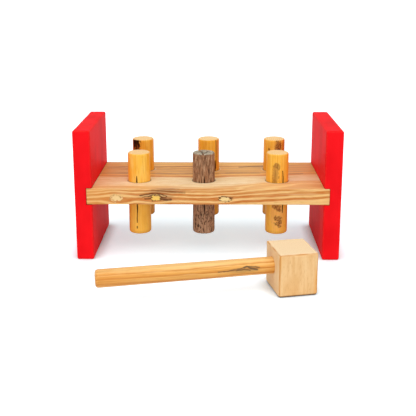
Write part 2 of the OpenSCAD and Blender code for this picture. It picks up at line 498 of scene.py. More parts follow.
plank = {
    "rounding": 0.8,
    "uneven": 0.35,
    "cell": (2.5, 2.0, 1.5),
    "holeSquare": 10,      # half side of the grid square that becomes a hole
    "holeSpread": 18,      # where the grid is square again
    "rim": 0.6,            # chamfer of the holes
    "clear": 0.1,          # room round a peg
    "rimWidth": 3.4,       # of the paler wood round a hole
    "sunk": 0.07,          # how far the wood between the lines has sunk
    "frontSunk": 0.08,
    "hollow": 0.25,        # how deep a knot lies
    "pith": 40,            # the tree's middle lies this far below the plank's front
    "reach": 120,          # how far from its front lower edge the rings are charted
    # Colour of early and late wood at that distance: orange in front, cream on top, browner behind
    "early": [(0, "#FFD290"), (17, "#FFD898"), (20.5, "#FFF2D0"), (36, "#FEECC4"), (37.5, "#F4B868"),
              (110, "#F6BC70")],
    "late": [(0, "#BE4C02"), (18, "#C2540A"), (22, "#E8B272"), (35, "#DC9C52"), (37, "#C45608"),
             (44, "#A8460A"), (48, "#7C3C1A"), (60, "#984A12"), (110, "#AC5414")],
    "fibreSpacing": 0.55,
    # Knots on the front edge: middle along the plank, height above its underside, half sizes
    "knots": [
        {"x": -99.2, "z": 7.1, "half": (6.0, 3.5), "core": "#EFCD92", "bark": "#A88A5C", "ring": 0.5},
        {"x": -56.3, "z": 7.6, "half": (4.9, 2.9), "core": "#F4C964", "bark": "#33251C", "ring": 0.95},
        {"x": 18.6, "z": 6.2, "half": (5.6, 2.3), "core": "#F6DA9A", "bark": "#4A3220", "ring": 0.9},
    ],
    # Brown stain: middle, half sizes, how thick it lies
    "stains": [
        ((-67, 0, 9.4), (10, 6, 3.4), 0.22), ((-45, 0, 7.6), (9, 6, 4.4), 0.42),
        ((-57, 0, 12.6), (13, 5, 3.2), 0.32), ((-42, 0, 15.2), (18, 5, 3.4), 0.4),
        ((-46, 0, 18), (15, 3, 2.2), 0.28),
        ((-103.4, 0, 9.6), (3.4, 5, 1.4), 0.17), ((54, 101, 18), (17, 4, 4), 0.3),
        ((-22, 78, 18), (40, 7, 4), 0.2), ((34, 78, 18), (26, 6, 4), 0.2),
    ],
    # Torn dark lines in the wood: width, how dark, and the points that each runs through
    "veins": [
        (0.8, 0.85, [(-73.5, 0, 10.2), (-66.8, 0, 11.4), (-62.0, 0, 12.4), (-55.8, 0, 12.9), (-49.2, 0, 11.3),
                     (-44.6, 0, 9.4)]),
        (0.8, 0.8, [(-64.8, 0, 9.0), (-60.6, 0, 10.8), (-53.0, 0, 10.9), (-50.0, 0, 8.4), (-45.4, 0, 7.6)]),
        (1.5, 0.85, [(-51.0, 0, 6.6), (-46.0, 0, 5.4), (-40.2, 0, 5.8)]),
        (1.0, 0.75, [(-68.2, 0, 6.5), (-61.4, 0, 6.9)]),
        (0.6, 0.6, [(-71.0, 0, 8.4), (-65.4, 0, 9.6), (-61.8, 0, 9.0)]),
        (1.1, 0.42, [(-60.5, 0, 16.2), (-48.7, 0, 15.6), (-35.6, 0, 14.4), (-25.1, 0, 13.4)]),
        (0.7, 0.8, [(13.0, 0, 7.2), (14.8, 0, 9.3), (18.6, 0, 9.2), (22.6, 0, 8.2), (27.0, 0, 7.8)]),
        (0.8, 0.7, [(25.6, 0, 7.6), (22.4, 0, 4.0)]),
        (1.1, 0.5, [(-96.8, 0, 9.0), (-94.8, 0, 7.9)]),
        (3.0, 0.55, [(38, 98, 18), (50, 101, 18), (70, 103, 18)]),
        (3.4, 0.24, [(-44, 97, 18), (-28, 101, 18), (-12, 98, 18)]),
        (3.0, 0.24, [(-120, 93, 18), (-102, 96, 18)]),
        (3.4, 0.3, [(88, 66, 18), (108, 67, 18)]),
        (3.4, 0.24, [(22, 68, 18), (44, 70, 18), (58, 69, 18)]),
    ],
    # Late-wood lines: distance from the front's lower edge, width, and how strong each is
    "ringLines": [
        (0.8, 1.8, 1), (5.8, 2.3, 1), (10.6, 1.9, 1), (14.4, 1.5, 0.9), (17.4, 1.6, 1),
        (20.4, 0.9, 0.6), (24.5, 1.2, 0.4), (29.0, 1.6, 0.4), (33.5, 1.2, 0.5),
        (39.6, 3.8, 1), (48.8, 4.8, 1), (57.4, 6.0, 0.6), (66.4, 4.8, 0.9), (75.5, 4.8, 0.95),
        (86.0, 4.2, 0.55), (95.0, 3.4, 0.7), (105.0, 3.4, 0.6),
    ],
}


def ringStrength(tree, ringAt, lines):  # 0 in early wood, up to 1 in late wood
    strength = None
    for first in range(0, len(lines), 8):  # as many as a colour ramp holds
        some = lines[first:first + 8]
        low, high = some[0][0] - 2 * some[0][1], some[-1][0] + 2 * some[-1][1]
        stops = []
        for at, width, dark in some:
            for step, value in ((-1, 0), (-0.5, dark), (0.5, dark), (0.75, 0)):
                stops.append(((at + step * width - low) / (high - low), value))
        share = addNode(tree, "MapRange", {0: ringAt, 1: low, 2: high})[0]
        part = addNode(tree, "ValToRGB", {0: share}, stops=stops)[0]
        if strength is not None:
            part = addNode(tree, "Math", {0: strength, 1: part}, operation="MAXIMUM")[0]
        strength = part
    return strength


def oiledPine(spec):
    # Planed and oiled pine: pale early wood with hard orange late-wood lines that run the plank's
    # length, bowing round the knots, raised a little where the soft wood has sunk between them
    material, tree = newMaterial("oiledPine")
    low, high = boxOf("bench_plank")
    place = addNode(tree, "VectorMath", {0: inMillimetres(tree), 1: (0, low[1], low[2])},
                    operation="SUBTRACT")[0]
    axes = addNode(tree, "SeparateXYZ", {0: place})
    down = addNode(tree, "Math", {0: axes["Z"], 1: spec["pith"]}, operation="ADD")[0]
    across = addNode(tree, "CombineXYZ", {"Y": axes["Y"], "Z": down})[0]
    ringAt = addNode(tree, "VectorMath", {0: across}, operation="LENGTH")["Value"]
    slow = grain(tree, place, (75, 34, 26), 1)[0]
    quick = grain(tree, place, (24, 9, 5))[0]
    ringAt = addNode(tree, "Math", {0: slow, 1: 7.0, 2: ringAt}, operation="MULTIPLY_ADD")[0]
    ringAt = addNode(tree, "Math", {0: quick, 1: 2.2, 2: ringAt}, operation="MULTIPLY_ADD")[0]
    ringAt = addNode(tree, "Math", {0: ringAt, 1: spec["pith"] + 4.6}, operation="SUBTRACT")[0]
    # towards the right end the rings climb
    climb = addNode(tree, "MapRange", {0: axes["X"], 1: 5, 2: 130, 3: 0, 4: 10})[0]
    ringAt = addNode(tree, "Math", {0: ringAt, 1: climb}, operation="SUBTRACT")[0]
    still = (0, 0, 0)
    for knot in spec["knots"]:  # rings are pushed apart round a knot
        half = (knot["half"][0] * 3.2, 12, knot["half"][1] * 2.6)
        reach = ovalReach(tree, place, still, (knot["x"], 0, knot["z"]), half)
        near = addNode(tree, "MapRange", {0: reach, 1: 0.1, 2: 1.3, 3: 0.65, 4: 0},
                       interpolation_type="SMOOTHSTEP")[0]
        above = addNode(tree, "Math", {0: axes["Z"], 1: knot["z"]}, operation="SUBTRACT")[0]
        push = addNode(tree, "Math", {0: near, 1: above}, operation="MULTIPLY")[0]
        ringAt = addNode(tree, "Math", {0: ringAt, 1: push}, operation="SUBTRACT")[0]
    streaks = grain(tree, place, (60, 1.6, 1.3), 4)[0]
    strength = ringStrength(tree, ringAt, spec["ringLines"])
    patchy = grain(tree, place, (42, 11, 9), 2)[0]
    uneven = addNode(tree, "MapRange", {0: patchy, 1: 0.3, 2: 0.5, 3: 0.62, 4: 1})[0]
    strength = addNode(tree, "Math", {0: strength, 1: uneven}, operation="MULTIPLY")[0]
    # fainter lines on the front half of the top
    onFront = addNode(tree, "MapRange", {0: axes["Z"], 1: 16.8, 2: 17.8, 3: 1, 4: 0.5})[0]
    behind = addNode(tree, "MapRange", {0: axes["Y"], 1: 40, 2: 50})[0]
    clear = addNode(tree, "Math", {0: onFront, 1: behind}, operation="MAXIMUM")[0]
    strength = addNode(tree, "Math", {0: strength, 1: clear}, operation="MULTIPLY")[0]
    share = addNode(tree, "MapRange", {0: ringAt, 1: 0, 2: spec["reach"]})[0]
    early, late = (addNode(tree, "ValToRGB", {0: share},
                           stops=[(at / spec["reach"], code) for at, code in spec[age]])[0]
                   for age in ("early", "late"))
    colour = addNode(tree, "Mix", {0: strength, 6: early, 7: late}, data_type="RGBA")[2]
    level = addNode(tree, "RGBToBW", {0: colour})[0]
    fibre = spec["fibreSpacing"]
    fibres = grain(tree, place, (9, fibre, fibre))[0]
    ends = addNode(tree, "Math", {0: axes["X"]}, operation="ABSOLUTE")[0]
    back = addNode(tree, "MapRange", {0: axes["Y"], 1: 44, 2: 74})[0]
    colour = layered(tree, colour, [
        (streaks, 0.52, 0.72, 0.58, "#C4641A"),
        (streaks, 0.46, 0.28, 0.4, "#FFECC4"),
        (fibres, 0.52, 0.75, 0.25, "#B05E1A"),
        (ends, 84, 128, 0.4, "#C0602A", back),        # on the rear half, redder towards both ends
        (axes["X"], 5, 50, 0.35, "#FFC878", back),    # and yellower to the right
        (axes["X"], -92, -122, 0.35, "#F0A050"),      # oil left thicker at the left end
        (fibres, 0, 1, 0.87, "#D8A860"),              # the oil's own amber
    ])
    wobble = wander(tree, place, (6, 2, 1.6), 1.6)
    for middle, half, share in spec["stains"]:
        reach = ovalReach(tree, place, wobble, middle, half)
        colour = coated(tree, colour, reach, 1.4, 0.3, share, "#7E523E")
    rugged = addNode(tree, "VectorMath", {0: wander(tree, place, (4, 3, 2), 1.0), 1: (1, 0.2, 1), 2: place},
                     operation="MULTIPLY_ADD")[0]
    gaps = grain(tree, place, (5, 2, 1.2))[0]
    torn = addNode(tree, "MapRange", {0: gaps, 1: 0.32, 2: 0.46, 3: 0.5, 4: 0.9})[0]
    for width, share, line in spec["veins"]:
        reach = lineReach(tree, rugged, line)
        colour = coated(tree, colour, reach, width, width * 0.6, share, "#3C170A", torn)
    jagged = wander(tree, place, (2.8, 2, 1.6), 2.2)
    broken = addNode(tree, "MapRange", {0: grain(tree, place, (2.2, 2, 1.4))[0], 1: 0.38, 2: 0.52})[0]
    for knot in spec["knots"]:
        half = (knot["half"][0], 7, knot["half"][1])
        reach = ovalReach(tree, place, jagged, (knot["x"], 0, knot["z"]), half)
        colour = coated(tree, colour, reach, 1.42, 1.12, knot["ring"], knot["bark"], broken)
        core = coated(tree, srgb(knot["core"]), reach, 0.25, 0.9, 0.35, "#D8A860", fibres)
        colour = coated(tree, colour, reach, 1.08, 0.94, 1, core)
    rim = addNode(tree, "Attribute", attribute_name="rim")["Fac"]
    bore = addNode(tree, "Attribute", attribute_name="bore")["Fac"]
    colour = layered(tree, colour, [
        (rim, 0, 1, 0.6, "#F9E2B2"),        # sanded pale round each hole
        (bore, 0, 0.6, 0.85, "#4A2810"),    # painted shade in the gap round the peg, deeper down the bore
    ])
    height = addNode(tree, "Math", {0: level, 1: -0.8, 2: fibres}, operation="MULTIPLY_ADD")[0]
    rough = addNode(tree, "MapRange", {0: level, 1: 0.2, 2: 0.7, 3: 0.48, 4: 0.64})[0]
    finishMaterial(tree, colour, rough, height, 0.10, 0.08)
    return material


pegNodes = ["peg_front_left", "peg_front_centre", "peg_front_right",
            "peg_rear_left", "peg_rear_centre", "peg_rear_right"]


def makePlank(spec, material):
    low, high = boxOf("bench_plank")
    holes = []
    for node in pegNodes:
        pegLow, pegHigh = boxOf(node)
        holes.append(((pegLow + pegHigh)[:2] / 2, (pegHigh - pegLow)[0] / 2 + spec["clear"]))
    rim, square, spread = spec["rim"], spec["holeSquare"], spec["holeSpread"]
    lines = []
    for axis in range(3):
        values = edgeLines(low[axis], high[axis], spec["rounding"], 3)
        if axis < 2:
            values += [centre[axis] + s for centre, _ in holes for s in (-spread, -square, 0, square, spread)]
        else:
            values += edgeLines(low[axis], high[axis], rim, 2)
        lines.append(gridLines([round(v, 4) for v in values], low[axis], high[axis], spec["cell"][axis]))

    def filled(x, y, z):
        return all(np.abs(centre - (x, y)).max() > square for centre, _ in holes)

    points, faces = blockMesh(lines, filled)
    radii = spec["rounding"] * np.clip(1.0 + spec["uneven"] * lumps(points, (18, 9, 9), 2), 0.5, 1.7)
    shaped = roundBlock(points, low, high, radii)
    rimMark, bore = np.zeros(len(points)), np.zeros(len(points))
    depth = np.minimum(high[2] - points[:, 2], points[:, 2] - low[2])
    flare = rim * (1 - np.sqrt(np.maximum(0, 1 - np.clip(1 - depth / rim, 0, 1) ** 2)))
    for centre, radius in holes:
        wide = radius + rim
        moved, longest, blend = squareToRound(points[:, :2], centre, square, spread, wide)
        near = (longest < spread - 1e-6) & (longest > square - close)
        onWall = near & (blend < 1e-3)
        away = moved - centre
        length = np.maximum(np.linalg.norm(away, axis=1), 1e-9)
        bored = centre + away * ((radius + flare) / length)[:, None]
        shaped[near, :2] = np.where(onWall[:, None], bored, moved)[near]
        reach = np.linalg.norm(shaped[:, :2] - centre, axis=1) - radius
        rimMark = np.maximum(rimMark, np.clip(1 - reach / spec["rimWidth"], 0, 1) * (depth < close) * near)
        # painted shade down the hole's wall, darker from the rim inwards
        bore = np.maximum(bore, onWall * np.clip(0.3 + depth / 0.7, 0, 1))
    flat = (depth < close) & (rimMark < 0.9)
    sunk = spec["sunk"] * hollows(points[flat], (45, 7, 9), 5)
    shaped[flat, 2] += np.where(points[flat, 2] > (low[2] + high[2]) / 2, -sunk, sunk)
    front = np.abs(points[:, 1] - low[1]) < close
    shaped[front, 1] += spec["frontSunk"] * hollows(points[front], (30, 5, 3), 6)
    for knot in spec["knots"]:  # each knot lies in a shallow hollow
        at, half = (knot["x"], low[1], low[2] + knot["z"]), (knot["half"][0], 3, knot["half"][1])
        dip = np.clip(1.5 - np.linalg.norm((points - at) / half, axis=1), 0, 1)
        shaped[front, 1] += (spec["hollow"] * dip * dip * (3 - 2 * dip))[front]
    piece = makePiece("bench_plank_wood", shaped, faces, "bench", "plank_pine", material,
                      rim=rimMark, bore=bore)
    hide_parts("bench_plank")


makePlank(plank, oiledPine(plank))


# Pegs

peg = {
    "endRounding": 1.9,
    "columns": 72,         # across each half of the peg
    "step": 1.1,           # between rows
    "slitWidth": 1.0,
    "slitLength": 44,
    "slitTaper": 6,        # length over which the saw cut closes at its ends
    "ringWidth": 2.3,
    "pith": 24,            # the tree's middle lies this far from the peg's
    "fibreSpacing": 0.5,
    "roughness": (0.38, 0.54),
    "wear": 0.05,          # how far the sides are out of round
    "endWear": 0.12,       # and the ends worn down
    "wearReach": 4,        # how far from the sides and the ends it is felt
}
# The weathered peg has finer relief. Its fissures, its scrubbed sides, its flaked ends and its cracks
# have these depths.
agedPeg = dict(peg, columns=130, step=0.75, slitWidth=0.9, fissure=0.36, scrubbed=0.16, flake=0.35,
               crack=0.9)
# Each peg's own wood. Places are in mm: to the right of the peg's axis, towards the back, above its foot.
# A slit has its turn in degrees. A burn has its middle, half sizes, colour, and how thick it lies.
# A pin knot is a mottled spot: middle, half sizes, and how dark its broken rim is. A crack has its width,
# and the points that it runs through.
pegWood = {
    "peg_front_left": {
        "slit": -8, "seed": 1, "honey": "#FABD40", "pale": "#FED470", "deep": "#E69A30", "burns": [],
        "pinKnots": [],
        "cracks": [(0.8, [(-1.8, -12.4, 27), (-2.1, -12.3, 20), (-2.3, -12.2, 14)]),
                   (1.0, [(-2.4, -12.2, 9.0), (-2.3, -12.2, 7.4)])]},
    "peg_front_centre": {
        "slit": 4, "seed": 6,
        "cracks": [(0.8, [(-0.6, -12.6, 92), (-0.3, -12.5, 84), (-1.0, -12.5, 76),
                          (-0.7, -12.5, 68)]),
                   (1.7, [(-0.6, -12.6, 92.6), (-0.6, -7, 93), (-4.6, 9.4, 93)]),
                   (1.7, [(-0.6, -7, 93), (5.6, 5.5, 93)]),
                   (0.95, [(-3.6, -12.0, 91.5), (-1.8, -12.4, 87), (-0.4, -12.5, 83)]),
                   (0.95, [(3.8, -11.9, 91.5), (1.6, -12.4, 86), (-0.3, -12.5, 81)])]},
    "peg_front_right": {
        "slit": 28, "seed": 2, "honey": "#F7B840", "pale": "#FDCE6A", "deep": "#E09432",
        "burns": [((-2.6, -12.2, 70), (3.6, 5, 12.5), "#9C6028", 0.6),
                  ((-2.6, -12.2, 80), (3.2, 5, 2.4), "#805024", 0.35),
                  ((0.2, -12.3, 78.4), (2.2, 5, 3.0), "#74461E", 0.5),
                  ((-2.9, -12.1, 68), (1.3, 5, 6.5), "#8A5828", 0.45),
                  ((-3.4, -12.0, 61), (3.2, 5, 3.0), "#8A5828", 0.5),
                  ((0, -12.2, 22), (8, 7, 18), "#F2AC6C", 0.4)],
        "pinKnots": [((-3.4, -12.0, 33.0), (2.4, 5, 2.6), 0.6),
                     ((0.9, -12.4, 31.6), (2.8, 5, 3.4), 0.75),
                     ((2.9, -12.1, 28.4), (1.6, 5, 1.6), 0.6),
                     ((-2.2, -12.2, 19.8), (1.4, 5, 1.9), 0.7),
                     ((1.4, -12.4, 18.4), (3.6, 5, 3.1), 0.9),
                     ((3.6, -11.9, 14.2), (1.7, 5, 2.2), 0.8),
                     ((0.4, -12.4, 12.6), (2.9, 5, 2.0), 0.85),
                     ((2.8, -12.2, 9.8), (1.9, 5, 1.5), 0.65)],
        "cracks": [(0.9, [(5.2, -11.4, 73.5), (5.8, -11.1, 66), (5.8, -11.1, 60)])]},
    "peg_rear_left": {
        "slit": 12, "seed": 3, "honey": "#EAA230", "pale": "#F2B850", "deep": "#C87E22",
        "burns": [((-7.6, -9.6, 87), (5.9, 6.5, 10.5), "#8A3C12", 0.9),
                  ((-6.4, -10.6, 88), (3.9, 5, 9.2), "#120805", 1.0),
                  ((-10.2, -7.0, 90), (1.9, 3, 7.4), "#1E0B06", 1.0),
                  ((-5.4, -11.2, 83), (0.8, 3, 3.6), "#8A4418", 0.8)],
        "pinKnots": [], "cracks": []},
    "peg_rear_centre": {
        "slit": 39, "seed": 4, "honey": "#EFA832", "pale": "#F4B84C", "deep": "#D08428",
        "burns": [((10.4, -7, 70), (2.2, 4, 30), "#C46E1C", 0.7)],
        "pinKnots": [],
        "cracks": [(0.75, [(8.6, -9.0, 92), (8.8, -8.9, 80), (8.7, -8.9, 58)])]},
    "peg_rear_right": {
        "slit": -35, "seed": 5, "honey": "#EFAC38", "pale": "#F5C05C", "deep": "#D08628",
        "burns": [((11.0, -6.0, 82), (3.0, 5, 14), "#BE5A1C", 0.7),
                  ((4.4, -11.4, 86), (4.6, 5, 8), "#A8682C", 0.4),
                  ((-6.7, -10.6, 81.7), (1.5, 3, 1.5), "#6B4420", 0.7)],
        "pinKnots": [((2.8, -11.9, 91.2), (1.7, 5, 1.8), 0.9),
                     ((4.6, -11.3, 88.2), (2.6, 5, 1.7), 0.95),
                     ((1.8, -12.1, 85.8), (1.8, 5, 1.8), 0.8),
                     ((5.4, -11.0, 84.2), (3.0, 5, 2.8), 1.0),
                     ((2.6, -12.0, 81.6), (2.8, 5, 2.6), 1.0)],
        "cracks": []},
}


def turnedHoneyPine(spec, node, height):
    # Turned pine rod, stained honey and waxed: glowing yellow-orange, close lengthwise grain,
    # pale end grain with fine rings, and the burns, pin knots and cracks of its own piece
    own = pegWood[node]
    material, tree = newMaterial("turnedHoneyPine_" + node)
    place = inMillimetres(tree)
    shift = [own["seed"] * n for n in (31.7, 22.2, 41.2)]
    moved = addNode(tree, "VectorMath", {0: place, 1: shift}, operation="ADD")[0]
    axes = addNode(tree, "SeparateXYZ", {0: place})
    angle = own["seed"] * 1.9
    pith = (spec["pith"] * math.cos(angle), spec["pith"] * math.sin(angle), 0)
    bent = bentPlace(tree, place, (30, 30, 90), 5, 1, moved)
    ring = yearRing(tree, bent, pith, (1, 1, 0), spec["ringWidth"])
    rings = addNode(tree, "ValToRGB", {0: ring}, stops=[
        (0, own["pale"]), (0.55, own["honey"]), (0.86, own["deep"]), (1, own["pale"])])[0]
    streaks = grain(tree, moved, (1.4, 1.4, 42), 4)[0]
    clouds = grain(tree, moved, (8, 8, 24))[0]
    fibre = spec["fibreSpacing"]
    fibres = grain(tree, moved, (fibre, fibre, 8))[0]
    colour = addNode(tree, "Mix", {0: 0.35, 6: srgb(own["honey"]), 7: rings}, data_type="RGBA")[2]
    # painted shade: how far out to the flank each point lies, as the peg is seen from the front
    shadedFlanks = addNode(tree, "Math", {0: axes["X"]}, operation="ABSOLUTE")[0]
    specks = grain(tree, moved, (0.9, 0.9, 2.2), 1)[0]
    lower = addNode(tree, "MapRange", {0: axes["Z"], 1: 44, 2: 10, 3: 0.25, 4: 1})[0]
    colour = layered(tree, colour, [
        (clouds, 0.45, 0.7, 0.6, own["pale"]),
        (clouds, 0.45, 0.26, 0.45, own["deep"]),
        (streaks, 0.5, 0.74, 0.55, own["deep"]),
        (streaks, 0.46, 0.3, 0.5, own["pale"]),
        (fibres, 0.54, 0.76, 0.3, "#A8641F"),
        (shadedFlanks, 7.5, 12.2, 0.45, "#FB9A18"),          # painted shade: deeper orange on the flanks, where the peg turns away from the front
        (specks, 0.70, 0.78, 0.7, "#7A4516", lower),  # handling marks, most below
        (axes["Z"], 46, 34, 0.4, "#FFC25A"),          # painted light: paler on the lower part, lifting the shade under the plank
        (axes["Z"], 5, 0.5, 0.45, "#B06A22"),         # the foot is bruised a little brown
    ])
    wobble = wander(tree, moved, (2.0, 2.0, 3.2), 1.5)
    torn = addNode(tree, "MapRange", {0: streaks, 1: 0.34, 2: 0.5, 3: 0.5, 4: 1})[0]
    for middle, half, code, share in own["burns"]:
        reach = ovalReach(tree, place, wobble, middle, half)
        colour = coated(tree, colour, reach, 1.2, 0.8, share, code, torn)
    jagged = wander(tree, moved, (1.4, 1.4, 1.8), 2.0)
    specked = addNode(tree, "MapRange", {0: grain(tree, moved, (0.9, 0.9, 1.1), 3)[0], 1: 0.4, 2: 0.54})[0]
    for middle, half, share in own["pinKnots"]:
        reach = ovalReach(tree, place, jagged, middle, half)
        colour = coated(tree, colour, reach, 1.3, 0.6, 0.6, "#9C5E2C")
        offRing = addNode(tree, "Math", {0: reach, 1: 0.8}, operation="SUBTRACT")[0]
        offRing = addNode(tree, "Math", {0: offRing}, operation="ABSOLUTE")[0]
        colour = coated(tree, colour, offRing, 0.60, 0.14, share * 0.85, "#6A3A1C", specked)
    top = addNode(tree, "Math", {0: height, 1: axes["Z"]}, operation="SUBTRACT")[0]
    pores = grain(tree, moved, (0.6, 0.6, 3))[0]
    cut = coated(tree, srgb("#F3CE90"), ring, 0.45, 0.9, 0.55, "#DDA455")
    cut = coated(tree, cut, pores, 0.5, 0.75, 0.45, "#CF9448")
    colour = layered(tree, colour, [(top, 1.2, 0.25, 0.95, cut), (axes["Z"], 1.0, 0.2, 0.8, cut)])
    level = addNode(tree, "Math", {0: fibres, 1: streaks}, operation="ADD")[0]
    rugged = bentPlace(tree, place, (3, 3, 2), 0.5, shifted=moved)
    colour, level = cracked(tree, colour, level, rugged, own["cracks"], 0.3, 0.92, "#54300F", 4)
    # painted shade on the saw slit's walls
    slit = addNode(tree, "Attribute", attribute_name="slit")["Fac"]
    colour = coated(tree, colour, slit, 0.1, 0.9, 0.85, "#4C2608")
    low, high = spec["roughness"]
    rough = addNode(tree, "MapRange", {0: clouds, 3: low, 4: high})[0]
    finishMaterial(tree, colour, rough, level, 0.05, 0.12)
    return material


def weatheredPine(spec, node, height):
    # A pine peg left out in the rain and scrubbed: silver-brown, fissured along the grain,
    # black down in the cracks, and dry, so that it hardly shines
    own = pegWood[node]
    material, tree = newMaterial("weatheredPine")
    place = inMillimetres(tree)
    axes = addNode(tree, "SeparateXYZ", {0: place})
    bent = bentPlace(tree, place, (5, 5, 20), 4)
    streaks = grain(tree, bent, (1.3, 1.3, 13), 5)[0]
    wide = grain(tree, bent, (3.4, 3.4, 22), 3)[0]
    fibre = spec["fibreSpacing"]
    fibres = grain(tree, place, (fibre, fibre, 5), 3)[0]
    colour = addNode(tree, "ValToRGB", {0: streaks}, stops=[
        (0.28, "#563B2B"), (0.42, "#8A6246"), (0.52, "#A67D5E"), (0.62, "#BC9472"), (0.74, "#D4B08E")])[0]
    flecks = grain(tree, bent, (1.9, 1.9, 4.0), 4)[0]
    lower = addNode(tree, "MapRange", {0: axes["Z"], 1: 46, 2: 24, 3: 0.12, 4: 1})[0]
    colour = layered(tree, colour, [
        (wide, 0.46, 0.68, 0.5, "#9C6440"),
        (fibres, 0.5, 0.74, 0.5, "#5C402E"),
        (axes["Z"], 44, 30, 0.22, "#D2A888"),         # painted light: paler below, lifting the shade under the plank; and flecked with black
        (flecks, 0.54, 0.63, 0.85, "#33231A", lower),
    ])
    top = addNode(tree, "Math", {0: height, 1: axes["Z"]}, operation="SUBTRACT")[0]
    patches = grain(tree, place, (2.0, 2.0, 2.0), 4)[0]
    cut = coated(tree, srgb("#8A7E6A"), patches, 0.38, 0.64, 1, "#BCB09A")
    fissure = addNode(tree, "Attribute", attribute_name="fissure")["Fac"]
    colour = layered(tree, colour, [
        (top, 1.7, 0.4, 1, cut),
        (axes["Z"], 1.4, 0.3, 0.8, cut),
        (fissure, 0.15, 0.95, 0.8, "#2E1F15"),
    ])
    level = addNode(tree, "Math", {0: streaks, 1: 1.6, 2: fibres}, operation="MULTIPLY_ADD")[0]
    rugged = bentPlace(tree, place, (3, 3, 2.4), 0.9)
    colour, level = cracked(tree, colour, level, rugged, own["cracks"], 0.4, 0.9, "#2A1B12", 2)
    # painted shade on the saw slit's walls
    slit = addNode(tree, "Attribute", attribute_name="slit")["Fac"]
    colour = coated(tree, colour, slit, 0.1, 0.9, 0.8, "#4A3222")
    rough = addNode(tree, "MapRange", {0: streaks, 3: 0.7, 4: 0.88})[0]
    finishMaterial(tree, colour, rough, level, 0.22, 0.15)
    return material


def pegGrids(spec, radius, height, slit):
    r, columns = spec["endRounding"], spec["columns"]
    slitLow, slitHigh = (height - spec["slitLength"]) / 2, (height + spec["slitLength"]) / 2
    turn = math.radians(slit)
    sine, cosine = math.sin(turn), math.cos(turn)

    def halfWidth(z):  # the saw cut narrows to nothing at both ends
        share = min(z - slitLow, slitHigh - z) / spec["slitTaper"]
        return 0 if share <= 0 else spec["slitWidth"] / 2 * min(1, share) ** 0.6

    def around(angle, reach, z):
        return (reach * math.sin(angle), -reach * math.cos(angle), z)

    bends = [math.pi / 2 * n / 5 for n in range(6)]
    rows = [(radius - r + r * math.sin(a), r - r * math.cos(a)) for a in bends]
    rows += [(radius, z) for z in gridLines([slitLow, slitHigh], r, height - r, spec["step"])[1:-1]]
    rows += [(radius - r + r * math.sin(a), height - r + r * math.cos(a)) for a in bends[::-1]]
    grids = []
    for side in (0, 1):  # the two halves that the slit parts
        start, stop = turn + side * math.pi, turn + (side + 1) * math.pi
        skin = []
        for reach, z in rows:
            gap = math.asin(halfWidth(z) / reach)
            angles = np.linspace(start + gap, stop - gap, columns + 1)
            skin.append([around(angle, reach, z) for angle in angles])
        grids.append(skin)
        for end in (0, height):
            grids.append([[around(angle, reach, end) for angle in np.linspace(start, stop, columns + 1)]
                          for reach in np.linspace(0, radius - r, 9)])
        wall = []
        for _, z in rows:
            if slitLow - 1e-6 <= z <= slitHigh + 1e-6:
                w = halfWidth(z) * (1 - 2 * side)
                long = math.sqrt(radius ** 2 - w ** 2)
                wall.append([(s * sine + w * cosine, w * sine - s * cosine, z)
                             for s in np.linspace(long, -long, 15)])
        grids.append(wall)
    return grids, (slitLow, slitHigh)


def makePeg(spec, node, material, slot):
    own = pegWood[node]
    low, high = boxOf(node)
    radius, height = (high[0] - low[0]) / 2, high[2] - low[2]
    grids, slitEnds = pegGrids(spec, radius, height, own["slit"])
    points, faces = weldedMesh(grids)
    faces, normals = outwardFaces(points, faces)
    reach = np.linalg.norm(points[:, :2], axis=1)
    felt = spec["wearReach"]
    outer = np.clip((reach - radius + felt) / felt, 0, 1)
    ends = np.clip(1 - np.minimum(points[:, 2], height - points[:, 2]) / felt, 0, 1)
    seed = own["seed"]
    # turned and handled: a little out of round, softer and uneven at the ends
    wear, endWear = spec["wear"], spec["endWear"]
    drop = outer * (wear + wear * lumps(points, (9, 9, 40), seed))
    drop += ends * (endWear + endWear * lumps(points, 4, seed + 20))
    fissure = np.zeros(len(points))
    if spec is agedPeg:
        # rain has opened the grain: long fissures, finer ones between, flakes gone at the ends, and cracks
        long = np.clip(1 - np.abs(lumps(points, (2.6, 2.6, 19), seed, 3)) / 0.08, 0, 1)
        fine = np.clip(1 - np.abs(lumps(points, (1.3, 1.3, 11), seed + 3)) / 0.08, 0, 1)
        fissure = np.maximum(long, 0.6 * fine) * outer
        drop += spec["fissure"] * fissure
        drop += spec["scrubbed"] * outer * hollows(points, (3, 3, 14), seed + 7)
        drop += spec["flake"] * ends * np.clip(lumps(points, (2.4, 2.4, 3.2), seed + 11, 3) + 0.2, 0, 1)
        for width, line in own["cracks"]:
            drop += spec["crack"] * np.clip(1 - (nearLine(points, line) / width) ** 2, 0, 1)
    inSlit = (points[:, 2] > slitEnds[0] + 1) & (points[:, 2] < slitEnds[1] - 1)
    turn = math.radians(own["slit"])
    offPlane = np.abs(points[:, 0] * math.cos(turn) + points[:, 1] * math.sin(turn))
    walls = inSlit & (offPlane < spec["slitWidth"] / 2 + 0.02)
    drop[walls & (reach < radius - 0.3)] = 0
    shaped = points - normals * drop[:, None]
    over = np.maximum(np.linalg.norm(shaped[:, :2], axis=1) / radius, 1)
    shaped[:, :2] /= over[:, None]
    piece = makePiece(node + "_wood", shaped, faces, node, slot, material(spec, node, height),
                      [*(low + high)[:2] / 2, low[2]], slit=walls, fissure=fissure)
    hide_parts(node)


for node in pegNodes:
    if node == "peg_front_centre":
        makePeg(agedPeg, node, weatheredPine, "peg_weathered_wood")
    else:
        makePeg(peg, node, turnedHoneyPine, "peg_honey_wood")


# Mallet

